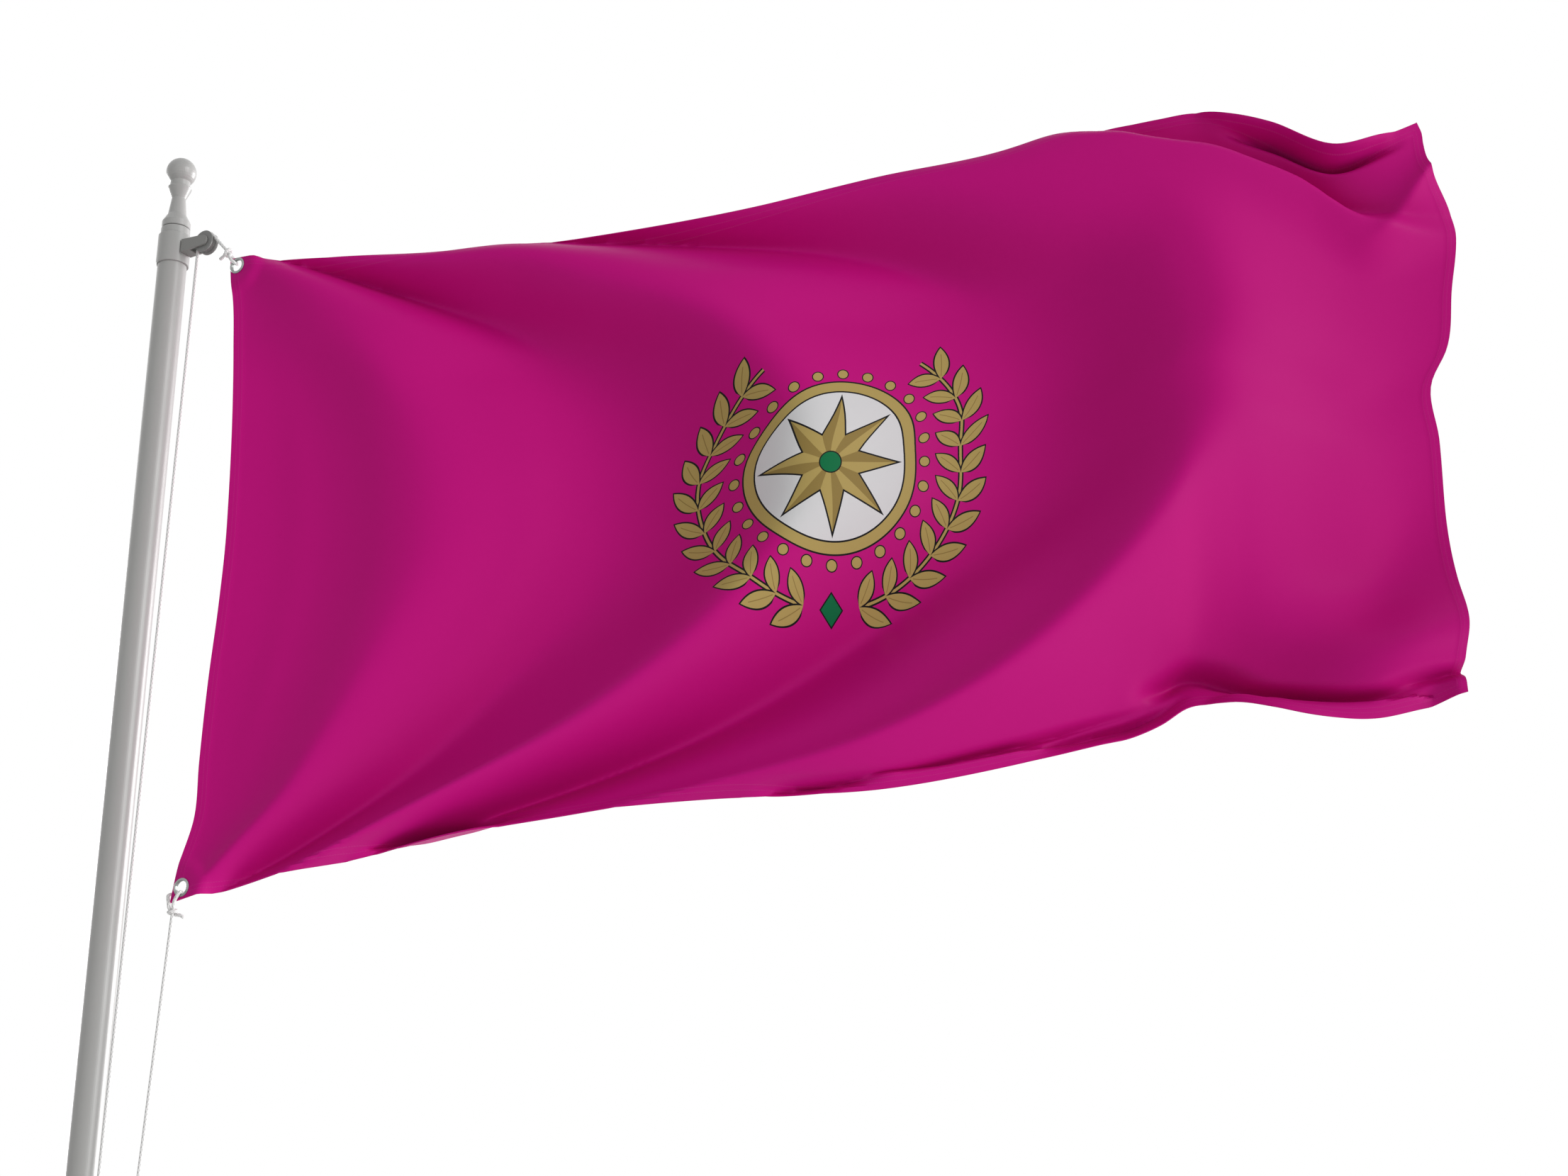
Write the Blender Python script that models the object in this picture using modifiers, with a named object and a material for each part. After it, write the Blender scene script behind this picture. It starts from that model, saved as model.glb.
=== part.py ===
# A city flag flying from the top of its pole, with truck, sheave, halyard and cleat.
# Metres. The origin is the centre of the pole's foot, +Z runs up the pole and
# +X runs along the flag; the printed face of the cloth looks toward -Y.

import math

import bmesh
import bpy
import numpy as np
from mathutils import Matrix, Vector

NAME = "city_flag"
GAP = 0.0003

POLE_RADIUS = 0.0200
POLE_TOP = 1.7930

COLLAR_RADIUS = 0.0225
COLLAR_LOW = 1.7367
COLLAR_HIGH = 1.7821

ARM_TURN = math.radians(-27)      # the bracket points right and toward the viewer
SHEAVE_OUT = 0.0597               # sheave axle from the pole's axis
SHEAVE_HEIGHT = 1.7594
SHEAVE_RADIUS = 0.0160
SHEAVE_HALF = 0.0070
GROOVE_RADIUS = 0.0116
AXLE_RADIUS = 0.0030
PLATE_INNER = 0.0075
PLATE_OUTER = 0.0105

ROPE = 0.0045
ROPE_OVER = 0.0145                # radius of the rope's middle in the groove
KNOT_TURN = 0.0052

CLEAT_TURN = math.radians(-16)
CLEAT_HEIGHT = 0.200
CLEAT_WIDTH = 0.0130

CLOTH = 0.0016
RING_RADIUS = 0.0120
RING_HOLE = 0.0087
EYELET_SLOPE = -0.5               # the cloth turns to the left at both eyelets
EYELETS = {"top": (0.1075, 1.7090), "bottom": (0.1070, 0.8455)}  # x and height

HOIST_Y = -0.055
FLY_NEARER = 0.12                 # the fly end stands this much nearer than the hoist

# share of the length from the hoist, height of the bottom edge, height of the top edge
EDGES = [
    (0.00, 0.827, 1.722),
    (0.08, 0.856, 1.714),
    (0.18, 0.895, 1.718),
    (0.24, 0.916, 1.731),
    (0.30, 0.926, 1.738),
    (0.42, 0.947, 1.757),
    (0.55, 0.962, 1.796),
    (0.66, 0.995, 1.832),
    (0.72, 1.019, 1.869),
    (0.75, 1.031, 1.887),
    (0.77, 1.045, 1.890),
    (0.79, 1.065, 1.893),
    (0.82, 1.066, 1.897),
    (0.85, 1.053, 1.886),
    (0.88, 1.044, 1.870),
    (0.93, 1.043, 1.828),
    (0.97, 1.059, 1.844),
    (1.00, 1.072, 1.865),
]
# share of the height from the bottom, x of the hoist edge, x of the fly edge
SIDES = [
    (0.00, 0.092, 1.709),
    (0.05, 0.099, 1.709),
    (0.12, 0.113, 1.720),
    (0.20, 0.113, 1.721),
    (0.32, 0.115, 1.717),
    (0.44, 0.120, 1.715),
    (0.54, 0.122, 1.711),
    (0.60, 0.121, 1.735),
    (0.70, 0.118, 1.749),
    (0.85, 0.110, 1.758),
    (0.93, 0.104, 1.726),
    (0.965, 0.099, 1.722),
    (0.985, 0.097, 1.720),
    (1.00, 0.096, 1.714),
]
# fold number along the flag's middle: share of the length, waves passed, half depth
FOLDS = [
    (0.00, 0.50, 0.014),
    (0.17, 1.02, 0.028),
    (0.34, 1.52, 0.044),
    (0.48, 2.00, 0.054),
    (0.68, 2.50, 0.058),
    (0.812, 3.00, 0.053),
    (1.00, 3.50, 0.046),
    (1.07, 3.62, 0.046),
    (1.18, 3.75, 0.040),
]
# share of the length, share of the height where the last ridge hides what is behind it
CREST = [
    (0.66, 1.045),
    (0.70, 1.025),
    (0.75, 0.990),
    (0.80, 0.960),
    (0.85, 0.942),
    (0.90, 0.928),
    (0.94, 0.902),
    (0.97, 0.872),
    (1.00, 0.845),
]


# Scene and materials

def clear():
    for thing in list(bpy.data.objects):
        bpy.data.objects.remove(thing, do_unlink=True)


def group(name):
    found = bpy.data.collections.new(name)
    bpy.context.scene.collection.children.link(found)
    return found


def material(name, colour, roughness, metallic):
    m = bpy.data.materials.new(name)
    m.use_nodes = True
    shader = m.node_tree.nodes["Principled BSDF"]
    shader.inputs["Base Color"].default_value = (*colour, 1)
    shader.inputs["Roughness"].default_value = roughness
    shader.inputs["Metallic"].default_value = metallic
    return m


def place(thing, where, paint=None):
    for old in list(thing.users_collection):
        old.objects.unlink(thing)
    where.objects.link(thing)
    if paint:
        thing.data.materials.clear()
        thing.data.materials.append(paint)


def as_cutter(thing, where):
    place(thing, where)
    thing.hide_render = True
    thing.display_type = "WIRE"


def cut(thing, cutter):
    step = thing.modifiers.new(cutter.name, "BOOLEAN")
    step.operation = "DIFFERENCE"
    step.solver = "EXACT"
    step.object = cutter


def soften(thing, width, turn=30):
    step = thing.modifiers.new("Bevel", "BEVEL")
    step.width = width
    step.segments = 2
    step.limit_method = "ANGLE"
    step.angle_limit = math.radians(turn)


def turned(name, profile, steps, frame):
    """A closed or axis-to-axis profile of (radius, height), swept round local Z."""
    mesh = bpy.data.meshes.new(name)
    on_axis = profile[0][0] == 0 and profile[-1][0] == 0
    n = len(profile)
    edges = [(i, i + 1) for i in range(n - 1)] + ([] if on_axis else [(n - 1, 0)])
    mesh.from_pydata([(r, 0, h) for r, h in profile], edges, [])
    thing = bpy.data.objects.new(name, mesh)
    thing.matrix_world = frame
    sweep = thing.modifiers.new("Screw", "SCREW")
    sweep.axis = "Z"
    sweep.steps = steps
    sweep.render_steps = steps
    sweep.use_merge_vertices = True
    sweep.merge_threshold = 0.00005
    return thing


def outline(name, points, half, frame):
    """A flat outline, filled and given its thickness, as a mesh."""
    curve = bpy.data.curves.new(name, "CURVE")
    curve.dimensions = "2D"
    curve.fill_mode = "BOTH"
    curve.extrude = half
    line = curve.splines.new("POLY")
    line.points.add(len(points) - 1)
    for point, (x, y) in zip(line.points, points):
        point.co = (x, y, 0, 1)
    line.use_cyclic_u = True
    guide = bpy.data.objects.new(name + "_outline", curve)
    bpy.context.scene.collection.objects.link(guide)
    bpy.context.view_layer.update()
    seen = guide.evaluated_get(bpy.context.evaluated_depsgraph_get())
    mesh = bpy.data.meshes.new_from_object(seen)
    work = bmesh.new()
    work.from_mesh(mesh)
    bmesh.ops.remove_doubles(work, verts=work.verts, dist=0.00001)
    bmesh.ops.recalc_face_normals(work, faces=work.faces)
    work.to_mesh(mesh)
    work.free()
    bpy.data.objects.remove(guide)
    thing = bpy.data.objects.new(name, mesh)
    thing.matrix_world = frame
    return thing


def box(name, low, high, frame):
    bpy.ops.mesh.primitive_cube_add(size=1)
    thing = bpy.context.object
    thing.name = name
    low, high = Vector(low), Vector(high)
    thing.data.transform(Matrix.Translation((low + high) / 2) @ Matrix.Diagonal((*(high - low), 1)))
    thing.matrix_world = frame
    return thing


def rod(name, radius, length, sides, frame):
    bpy.ops.mesh.primitive_cylinder_add(vertices=sides, radius=radius, depth=length)
    thing = bpy.context.object
    thing.name = name
    thing.matrix_world = frame
    return thing


def smooth_look(thing):
    if thing.type == "MESH":
        thing.data.shade_smooth()
        thing.data.set_sharp_from_angle(angle=math.radians(40))


# Frames: a matrix whose columns are the piece's own axes and its origin

def frame_of(x_axis, y_axis, z_axis, origin):
    m = Matrix.Identity(4)
    for k, axis in enumerate((x_axis, y_axis, z_axis, origin)):
        for i in range(3):
            m[i][k] = axis[i]
    return m


def arm_frame(turn, height=0.0):
    """x out from the pole, y sideways, z up."""
    c, s = math.cos(turn), math.sin(turn)
    return frame_of((c, s, 0), (-s, c, 0), (0, 0, 1), (0, 0, height))


def eyelet_frame(which):
    """x along the cloth, y up, z out of the printed face."""
    x, height = EYELETS[which]
    k = math.hypot(1, EYELET_SLOPE)
    along = Vector((1, EYELET_SLOPE, 0)) / k
    out = Vector((EYELET_SLOPE, -1, 0)) / k
    return frame_of(along, (0, 0, 1), out, (x, HOIST_Y - 0.001, height))


# The cloth

def ease(x, low, high):
    t = np.clip((x - low) / (high - low), 0, 1)
    return t * t * (3 - 2 * t)


def through(x, rows, column):
    """A smooth curve through one column of a table."""
    xs = np.array([row[0] for row in rows], float)
    ys = np.array([row[column] for row in rows], float)
    h, rise = np.diff(xs), np.diff(ys) / np.diff(xs)
    slope = np.concatenate([[rise[0]], (rise[:-1] * h[1:] + rise[1:] * h[:-1]) / (h[:-1] + h[1:]), [rise[-1]]])
    x = np.clip(x, xs[0], xs[-1])
    i = np.clip(np.searchsorted(xs, x, side="right") - 1, 0, len(xs) - 2)
    t = (x - xs[i]) / h[i]
    near = ys[i] * (1 + 2 * t) * (1 - t) ** 2 + slope[i] * h[i] * t * (1 - t) ** 2
    return near + ys[i + 1] * t * t * (3 - 2 * t) + slope[i + 1] * h[i] * t * t * (t - 1)


def fold_line(u, v):
    """Where the fold line through (u, v) crosses the middle of the flag.

    Fold lines bow out from one hoist corner and back to the other:
    u = s * q(v) ** (a - b * s), solved for s by Newton's steps.
    """
    upper = ease(v, 0.42, 0.58)
    low = np.abs(1 - 2 * v) * 0.965
    high = np.abs(2 * v - 1) * 0.99
    q = np.log((1 - upper) * (1 - low ** 1.6) + upper * (1 - high ** 2))
    a = 1.03 - 0.18 * upper
    b = 0.90 + 0.02 * upper
    target = np.log(np.maximum(u, 1e-5))
    s = np.clip(u, 1e-4, None)
    for _ in range(30):
        miss = np.log(s) + (a - b * s) * q - target
        s = np.clip(s - miss / (1 / s - b * q), 1e-5, 1.4)
    return s


def waves(u, v):
    s = fold_line(u, v)
    return s, through(s, FOLDS, 1)


def fold_shape(wave, top, soft):
    """+1 on a ridge and -1 in a hollow; ridges are the sharp ones, and hollows by the top edge."""
    x = np.pi * wave
    ridge = 1 - 2 * (np.sqrt(np.sin(x) ** 2 + soft ** 2) - soft) / (np.sqrt(1 + soft ** 2) - soft)
    hollow = 2 * (np.sqrt(np.cos(x) ** 2 + 0.04) - 0.20) / (np.sqrt(1.04) - 0.20) - 1
    return ridge + (hollow - ridge) * top


def stand_out(u, v):
    """How far the cloth stands toward the viewer from its flat base."""
    s, wave = waves(u, v)
    up, down = np.minimum(v + 0.004, 1), np.maximum(v - 0.004, 0)
    back = np.maximum(u - 0.004, 0)
    per_height = (waves(u, up)[1] - waves(u, down)[1]) / ((up - down) * 0.86)
    per_length = (waves(u + 0.004, v)[1] - waves(back, v)[1]) / ((u + 0.004 - back) * 1.62)
    crowding = np.pi * np.hypot(per_height, per_length)
    size = through(s, FOLDS, 2)
    size = size * (1 + 0.45 * ease(s, 0.5, 0.85) * np.exp(-((v - 0.30) / 0.22) ** 2))
    steepest = 1.15 + 0.35 * ease(0.5 - v, 0.0, 0.35)
    size = size / np.sqrt(1 + (size * crowding / steepest) ** 2)
    held = np.tanh(np.hypot(u * 1.65, (1 - v) * 0.85) / 0.10) * np.tanh(np.hypot(u * 1.65, v * 0.85) / 0.10)
    soft = 0.34 - 0.16 * ease(0.5 - v, 0.0, 0.38) - 0.08 * ease(v, 0.55, 0.9)
    d = size * held * fold_shape(wave, ease(v, 0.76, 0.90), soft)
    above = (v - through(u, CREST, 1)) * 0.85           # the strip behind the last ridge
    behind = ease(u, 0.65, 0.76) * (1 - 0.85 * ease(u, 0.90, 1.0))
    d = d + behind * (0.75 * np.maximum(above, 0) - 0.055 * ease(above, -0.040, 0.012))
    d = d + 0.055 * np.exp(-((u - 0.93) / 0.085) ** 2 - ((v - 0.11) / 0.085) ** 2)
    lip = ease(u, 0.10, 0.2) * (0.55 + 0.45 * np.cos(2 * np.pi * (u - 0.20) / 0.27))
    return d + lip * 0.010 * np.cos(np.pi * (v - 0.016) / 0.016) * ease(0.056 - v, 0, 0.020)


def cloth_points(u, v):
    x = through(v, SIDES, 1) * (1 - u) + through(v, SIDES, 2) * u
    z = through(u, EDGES, 1) * (1 - v) + through(u, EDGES, 2) * v
    y = HOIST_Y - FLY_NEARER * u - stand_out(u, v)
    for ex, ez in EYELETS.values():    # the cloth lies flat under each eyelet
        flat = 1 - ease(np.hypot((x - ex) * 1.1, z - ez), 0.023, 0.050)
        y = y + (HOIST_Y - 0.001 + EYELET_SLOPE * (x - ex) - y) * flat
    return np.stack([x, y, z], -1)


def columns():
    return np.concatenate([[0, 0.006, 0.012, 0.019, 0.027, 0.038], np.linspace(0.052, 1, 37)])


def rows():
    t = np.linspace(0, 1, 25)
    return t - 0.11 * np.sin(2 * np.pi * t)


def cloth(parts, cutters, paint):
    us, vs = columns(), rows()
    bpy.ops.mesh.primitive_grid_add(x_subdivisions=len(us) - 1, y_subdivisions=len(vs) - 1, size=1)
    thing = bpy.context.object
    thing.name = "flag_cloth"
    flat = np.empty(len(thing.data.vertices) * 3, np.float32)
    thing.data.vertices.foreach_get("co", flat)
    flat = flat.reshape(-1, 3)
    i = np.rint((flat[:, 0] + 0.5) * (len(us) - 1)).astype(int)
    j = np.rint((flat[:, 1] + 0.5) * (len(vs) - 1)).astype(int)
    thing.data.vertices.foreach_set("co", cloth_points(us[i], vs[j]).astype(np.float32).ravel())
    shell = thing.modifiers.new("Solidify", "SOLIDIFY")
    shell.thickness = CLOTH
    shell.offset = 0
    for which in EYELETS:
        hole = rod("hole_" + which, RING_HOLE + 0.0011, 0.02, 24, eyelet_frame(which))
        as_cutter(hole, cutters)
        cut(thing, hole)
    place(thing, parts, paint)
    return thing


# The pole and what is fitted to it

def finial_profile():
    ball, middle = 0.0210, 1.8850
    neck = 0.0138
    start = math.asin(neck / ball)
    arc = [start + (math.pi - start) * k / 14 for k in range(15)]
    lower = [(ball * math.sin(a), middle - ball * math.cos(a)) for a in arc]
    lower[-1] = (0, middle + ball)
    stem = [
        (0, POLE_TOP + GAP), (0.0170, POLE_TOP + GAP), (0.0170, 1.7946), (0.0190, 1.7946),
        (0.0197, 1.7953), (0.0197, 1.8040), (0.0190, 1.8052), (0.0134, 1.8155),
        (0.0127, 1.8170), (0.0097, 1.8425), (0.0160, 1.8575), (0.0165, 1.8590),
        (0.0160, 1.8602), (neck, 1.8612),
    ]
    return (stem + lower)[::-1]


def pole_pieces(parts, paints):
    pole = rod("pole", POLE_RADIUS, POLE_TOP, 64, Matrix.Translation((0, 0, POLE_TOP / 2)))
    place(pole, parts, paints["pole"])
    inner, outer, r = POLE_RADIUS + GAP, COLLAR_RADIUS, 0.0007
    collar = turned("truck_collar", [
        (inner, COLLAR_HIGH), (outer - r, COLLAR_HIGH), (outer, COLLAR_HIGH - r),
        (outer, COLLAR_LOW + r), (outer - r, COLLAR_LOW), (inner, COLLAR_LOW),
    ], 64, Matrix.Identity(4))
    place(collar, parts, paints["pole"])
    finial = turned("finial", finial_profile(), 48, Matrix.Identity(4))
    place(finial, parts, paints["pole"])
    return [pole, collar, finial]


def bracket(parts, cutters, paint):
    """Two tapered plates with round tips and a web under their roots."""
    root, tip = COLLAR_RADIUS + GAP, SHEAVE_OUT + 0.0005
    arc = [math.radians(a) for a in range(78, -79, -12)]
    nose = [(tip + 0.0078 * math.cos(a), 0.0078 * math.sin(a)) for a in arc]
    edge = [(root, 0.0097)] + nose + [(root, -0.0097)]
    out = arm_frame(ARM_TURN, SHEAVE_HEIGHT)
    stand = out @ Matrix.Rotation(math.radians(90), 4, "X")
    thing = outline("sheave_bracket", edge, PLATE_OUTER, stand)
    slot = box("slot", (0.0370, -PLATE_INNER, -0.03), (0.09, PLATE_INNER, 0.03), out)
    mouth = box("mouth", (0.0100, -PLATE_INNER, -0.0067), (0.0375, PLATE_INNER, 0.03), out)
    bore = rod("bore", AXLE_RADIUS + GAP, 0.0186, 20, out @ Matrix.Translation((SHEAVE_OUT, 0, 0)) @ Matrix.Rotation(math.radians(90), 4, "X"))
    for cutter in (slot, mouth, bore):
        as_cutter(cutter, cutters)
        cut(thing, cutter)
    place(thing, parts, paint)
    return thing


def sheave_pieces(parts, paints):
    axle = arm_frame(ARM_TURN, SHEAVE_HEIGHT) @ Matrix.Translation((SHEAVE_OUT, 0, 0)) @ Matrix.Rotation(math.radians(90), 4, "X")
    pin = rod("axle_pin", AXLE_RADIUS, 0.0180, 20, axle)
    place(pin, parts, paints["bracket"])
    r, h, bore = SHEAVE_RADIUS, SHEAVE_HALF, AXLE_RADIUS + GAP
    half = [(bore, h), (r - 0.0005, h), (r, h - 0.0005), (r, 0.0052), (0.0145, 0.0036), (0.0126, 0.0029), (GROOVE_RADIUS, 0.0016)]
    sheave = turned("sheave", half + [(x, -z) for x, z in reversed(half)], 40, axle)
    place(sheave, parts, paints["sheave"])
    return [pin, sheave]


def cleat(parts, paint):
    """Foot, neck and two horns, cut from one flat outline."""
    foot, neck_out, face = POLE_RADIUS + GAP, 0.0450, 0.0580
    half = [
        (foot, 0.030), (0.0245, 0.030), (0.0275, 0.016), (neck_out, 0.014),
        (neck_out + 0.001, 0.062), (neck_out + 0.004, 0.069), (face - 0.003, 0.070), (face - 0.0005, 0.066),
        (face, 0.055),
    ]
    edge = half + [(x, -z) for x, z in reversed(half)]
    frame = arm_frame(CLEAT_TURN, CLEAT_HEIGHT) @ Matrix.Rotation(math.radians(90), 4, "X")
    thing = outline("cleat", edge, CLEAT_WIDTH / 2, frame)
    soften(thing, 0.0015)
    place(thing, parts, paint)
    return thing


def eyelet(which, parts, paint):
    """A spool with a flange on each face of the cloth."""
    lift, inner, outer = CLOTH / 2 + 0.00035, RING_HOLE, RING_RADIUS
    half = [(inner, 0.0019), (inner + 0.0005, 0.0024), (0.0105, 0.0024), (outer - 0.0004, 0.0019), (outer, lift + 0.0003), (outer, lift), (inner + 0.0006, lift)]
    thing = turned("eyelet_" + which, half + [(x, -z) for x, z in reversed(half)], 24, eyelet_frame(which))
    place(thing, parts, paint)
    return thing


# The halyard: one rope, tied to each eyelet, over the sheave and belayed on the cleat

# outward, sideways and upward from the cleat's middle, in millimetres
BELAY = [
    (29, -11.2, 70), (29, -12.2, 14), (33, -10.4, -14), (33, -5, -22), (33.5, 5, -25),
    (40, 10.5, -24), (55, 10.4, -18), (60.2, 8.7, -13.5), (61.7, 4.5, -8), (61.7, -4.5, 8),
    (60.2, -8.7, 13.5), (55, -10.4, 18), (40, -10.5, 24), (33.5, -5, 25), (33, 5, 22),
    (40, 10.5, 19), (56, 10.6, 13), (66, 5, 6), (66.6, 0, 0), (65.6, -5, -7), (61, -9.2, -14),
    (54, -10.6, -21), (41, -10.6, -31), (34, -5, -33), (34, 6, -34),
    (42, 12.5, -32), (50, 15.6, -22), (56, 15.6, 0), (58, 15.2, 30), (59, 15, 60),
]
# along the cloth, up and out from the eyelet's middle, in millimetres
LOOP_BOTTOM = [
    (-8.6, -22.5, 3.2), (-5.4, -16, 4.8), (-2.0, -11.5, 5.3), (-0.4, -9.2, 5.3), (0, -7.3, 4.9),
    (0, -6.0, 3.2), (0, -5.8, 0), (-0.9, -5.9, -3.2), (-3.3, -6.5, -5.0), (-8, -6.4, -5.4),
    (-13, -6.3, -5.2), (-17.6, -6.6, -3.2), (-19.4, -7.8, 0), (-18.4, -10.5, 3.2), (-16.6, -15, 4.2),
    (-14.9, -20, 4.6),
]
LOOP_TOP = [
    (-12.0, 14.0, 4.8), (-8.4, 9.6, 5.4), (-6.2, 7.2, 5.3), (-4.75, 5.55, 4.9), (-3.9, 4.6, 3.2),
    (-3.75, 4.4, 0), (-3.9, 4.6, -3.2), (-4.75, 5.55, -4.9), (-6.2, 7.2, -5.3), (-8.4, 9.6, -5.5),
    (-12.0, 14.0, -6.2), (-15.5, 18.0, -8.5),
]


def moved(frame, points, scale=1.0):
    return [frame @ (Vector(p) * scale) for p in points]


def wraps(centre, axis, start, turns, pitch, rise):
    """Turns of the rope round its own standing part."""
    axis = axis.normalized()
    side = (start - centre) - axis * (start - centre).dot(axis)
    side.normalize()
    across = axis.cross(side)
    found = []
    for k in range(int(turns * 8) + 1):
        a = math.radians(45 * k)
        found.append(centre + axis * (rise + pitch * k / 8) + (side * math.cos(a) + across * math.sin(a)) * KNOT_TURN)
    return found


def sheave_run():
    """Over the sheave, from the flag's side to the pole's side."""
    frame = arm_frame(ARM_TURN, SHEAVE_HEIGHT) @ Matrix.Translation((SHEAVE_OUT, 0, 0))
    angles = [42, 60, 80, 100, 120, 140, 160, 180]
    return [frame @ (Vector((math.cos(math.radians(a)), 0, math.sin(math.radians(a)))) * ROPE_OVER) for a in angles]


def halyard_line():
    top, bottom = eyelet_frame("top"), eyelet_frame("bottom")
    over = sheave_run()
    knot_top = Vector((0.0899, -0.0458, 1.7352))
    up = (over[0] - knot_top).normalized()
    loop_top = moved(top, LOOP_TOP, 0.001)
    turns_top = wraps(knot_top, up, loop_top[-1], 1.25, 0.0052, -0.004)
    tail_top = [Vector((0.0850, -0.0420, 1.7330)), Vector((0.0782, -0.0410, 1.7265))]
    belay = moved(arm_frame(CLEAT_TURN, CLEAT_HEIGHT), BELAY, 0.001)
    knot_bottom = bottom @ Vector((-0.0112, -0.0285, 0.0))
    down = (belay[-1] - knot_bottom).normalized()
    loop_bottom = moved(bottom, LOOP_BOTTOM, 0.001)
    turns_bottom = wraps(knot_bottom, down, loop_bottom[-1], 1.5, 0.0052, -0.003)
    tail_bottom = [turns_bottom[-1] + Vector((0.0050, -0.0035, -0.0005)), turns_bottom[-1] + Vector((0.0100, -0.0040, -0.0035))]
    line = tail_top[::-1] + turns_top[::-1] + loop_top[::-1]
    line += [knot_top - up * 0.006, knot_top, knot_top + up * 0.008]
    line += [over[0] - up * 0.008] + over + [over[-1] - Vector((0, 0, 0.02))]
    line += belay
    line += [knot_bottom + down * 0.05, knot_bottom + down * 0.009, knot_bottom, knot_bottom - down * 0.0045]
    return line + loop_bottom + turns_bottom + tail_bottom


def off_chord(points, first, last):
    """How far the run between two of its points strays from the straight between them."""
    along = (points[last] - points[first]).normalized()
    return max(((p - points[first]).cross(along)).length for p in points[first + 1:last])


def rope_points(line, slack=0.00015, reach=0.30):
    """A smooth run through the points, kept where it leaves a straight by more than the slack."""
    p = [2 * line[0] - line[1]] + line + [2 * line[-1] - line[-2]]
    fine = []
    for a, b, c, d in zip(p, p[1:], p[2:], p[3:]):
        t = [0.0]
        for one, two in ((a, b), (b, c), (c, d)):
            t.append(t[-1] + max((two - one).length, 1e-6) ** 0.5)
        for k in range(12):
            x = t[1] + (t[2] - t[1]) * k / 12
            ab = a.lerp(b, (x - t[0]) / (t[1] - t[0]))
            bc = b.lerp(c, (x - t[1]) / (t[2] - t[1]))
            cd = c.lerp(d, (x - t[2]) / (t[3] - t[2]))
            abc = ab.lerp(bc, (x - t[0]) / (t[2] - t[0]))
            bcd = bc.lerp(cd, (x - t[1]) / (t[3] - t[1]))
            fine.append(abc.lerp(bcd, (x - t[1]) / (t[2] - t[1])))
    fine.append(line[-1])
    kept, first = [fine[0]], 0
    while first < len(fine) - 1:
        last = first + 1
        while last + 1 < len(fine) and (fine[last + 1] - fine[first]).length < reach and off_chord(fine, first, last + 1) < slack:
            last += 1
        kept.append(fine[last])
        first = last
    return kept


def halyard(parts, paint):
    points = rope_points(halyard_line())
    curve = bpy.data.curves.new("halyard", "CURVE")
    curve.dimensions = "3D"
    curve.bevel_depth = ROPE / 2
    curve.bevel_resolution = 2
    curve.use_fill_caps = True
    line = curve.splines.new("POLY")
    line.points.add(len(points) - 1)
    for point, at in zip(line.points, points):
        point.co = (*at, 1)
    thing = bpy.data.objects.new("halyard", curve)
    place(thing, parts, paint)
    print("halyard", len(points), "points,", round(sum((b - a).length for a, b in zip(points, points[1:])), 3), "m")
    return thing


def build():
    clear()
    parts, cutters = group(NAME), group(NAME + "_cutters")
    paints = {
        "cloth": material("magenta_cloth", (0.40, 0.010, 0.150), 0.85, 0.0),
        "ring": material("eyelet_steel", (0.30, 0.32, 0.31), 0.45, 0.9),
        "rope": material("white_rope", (0.85, 0.85, 0.84), 0.8, 0.0),
        "pole": material("light_paint", (0.60, 0.60, 0.58), 0.35, 0.0),
        "bracket": material("grey_bracket", (0.24, 0.24, 0.23), 0.45, 0.0),
        "sheave": material("grey_sheave", (0.22, 0.22, 0.22), 0.40, 0.0),
        "cleat": material("grey_cleat", (0.24, 0.24, 0.23), 0.45, 0.0),
    }
    things = pole_pieces(parts, paints)
    things.append(bracket(parts, cutters, paints["bracket"]))
    things += sheave_pieces(parts, paints)
    things.append(cleat(parts, paints["cleat"]))
    things.append(cloth(parts, cutters, paints["cloth"]))
    things += [eyelet(which, parts, paints["ring"]) for which in EYELETS]
    things.append(halyard(parts, paints["rope"]))
    bpy.context.view_layer.update()
    for thing in things:
        smooth_look(thing)
    print(NAME, len(things), "pieces")


build()
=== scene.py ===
# City flag on its pole: cloth, halyard and finishes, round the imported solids.
import math

import bpy
import numpy as np
from mathutils import Matrix, Vector


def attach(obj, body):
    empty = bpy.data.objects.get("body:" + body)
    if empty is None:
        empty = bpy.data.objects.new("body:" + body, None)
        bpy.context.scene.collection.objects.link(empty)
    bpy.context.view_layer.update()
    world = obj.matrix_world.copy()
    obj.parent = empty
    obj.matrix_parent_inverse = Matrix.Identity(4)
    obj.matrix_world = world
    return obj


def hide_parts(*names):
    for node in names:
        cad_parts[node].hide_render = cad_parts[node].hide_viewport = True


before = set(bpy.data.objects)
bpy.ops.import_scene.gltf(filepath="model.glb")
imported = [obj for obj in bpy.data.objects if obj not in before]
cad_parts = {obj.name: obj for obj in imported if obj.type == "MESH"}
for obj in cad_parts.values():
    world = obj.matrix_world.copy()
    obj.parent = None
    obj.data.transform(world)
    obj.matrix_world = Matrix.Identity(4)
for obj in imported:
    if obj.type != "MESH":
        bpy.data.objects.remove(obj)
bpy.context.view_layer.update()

camera = {
    "lens": 50.0, "sensor": 36.0, "nearest": 0.01,
    "place": (0.860, -2.756, 0.330),
    "tiltUp": 18.64,                    # degrees above the level
}
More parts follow.
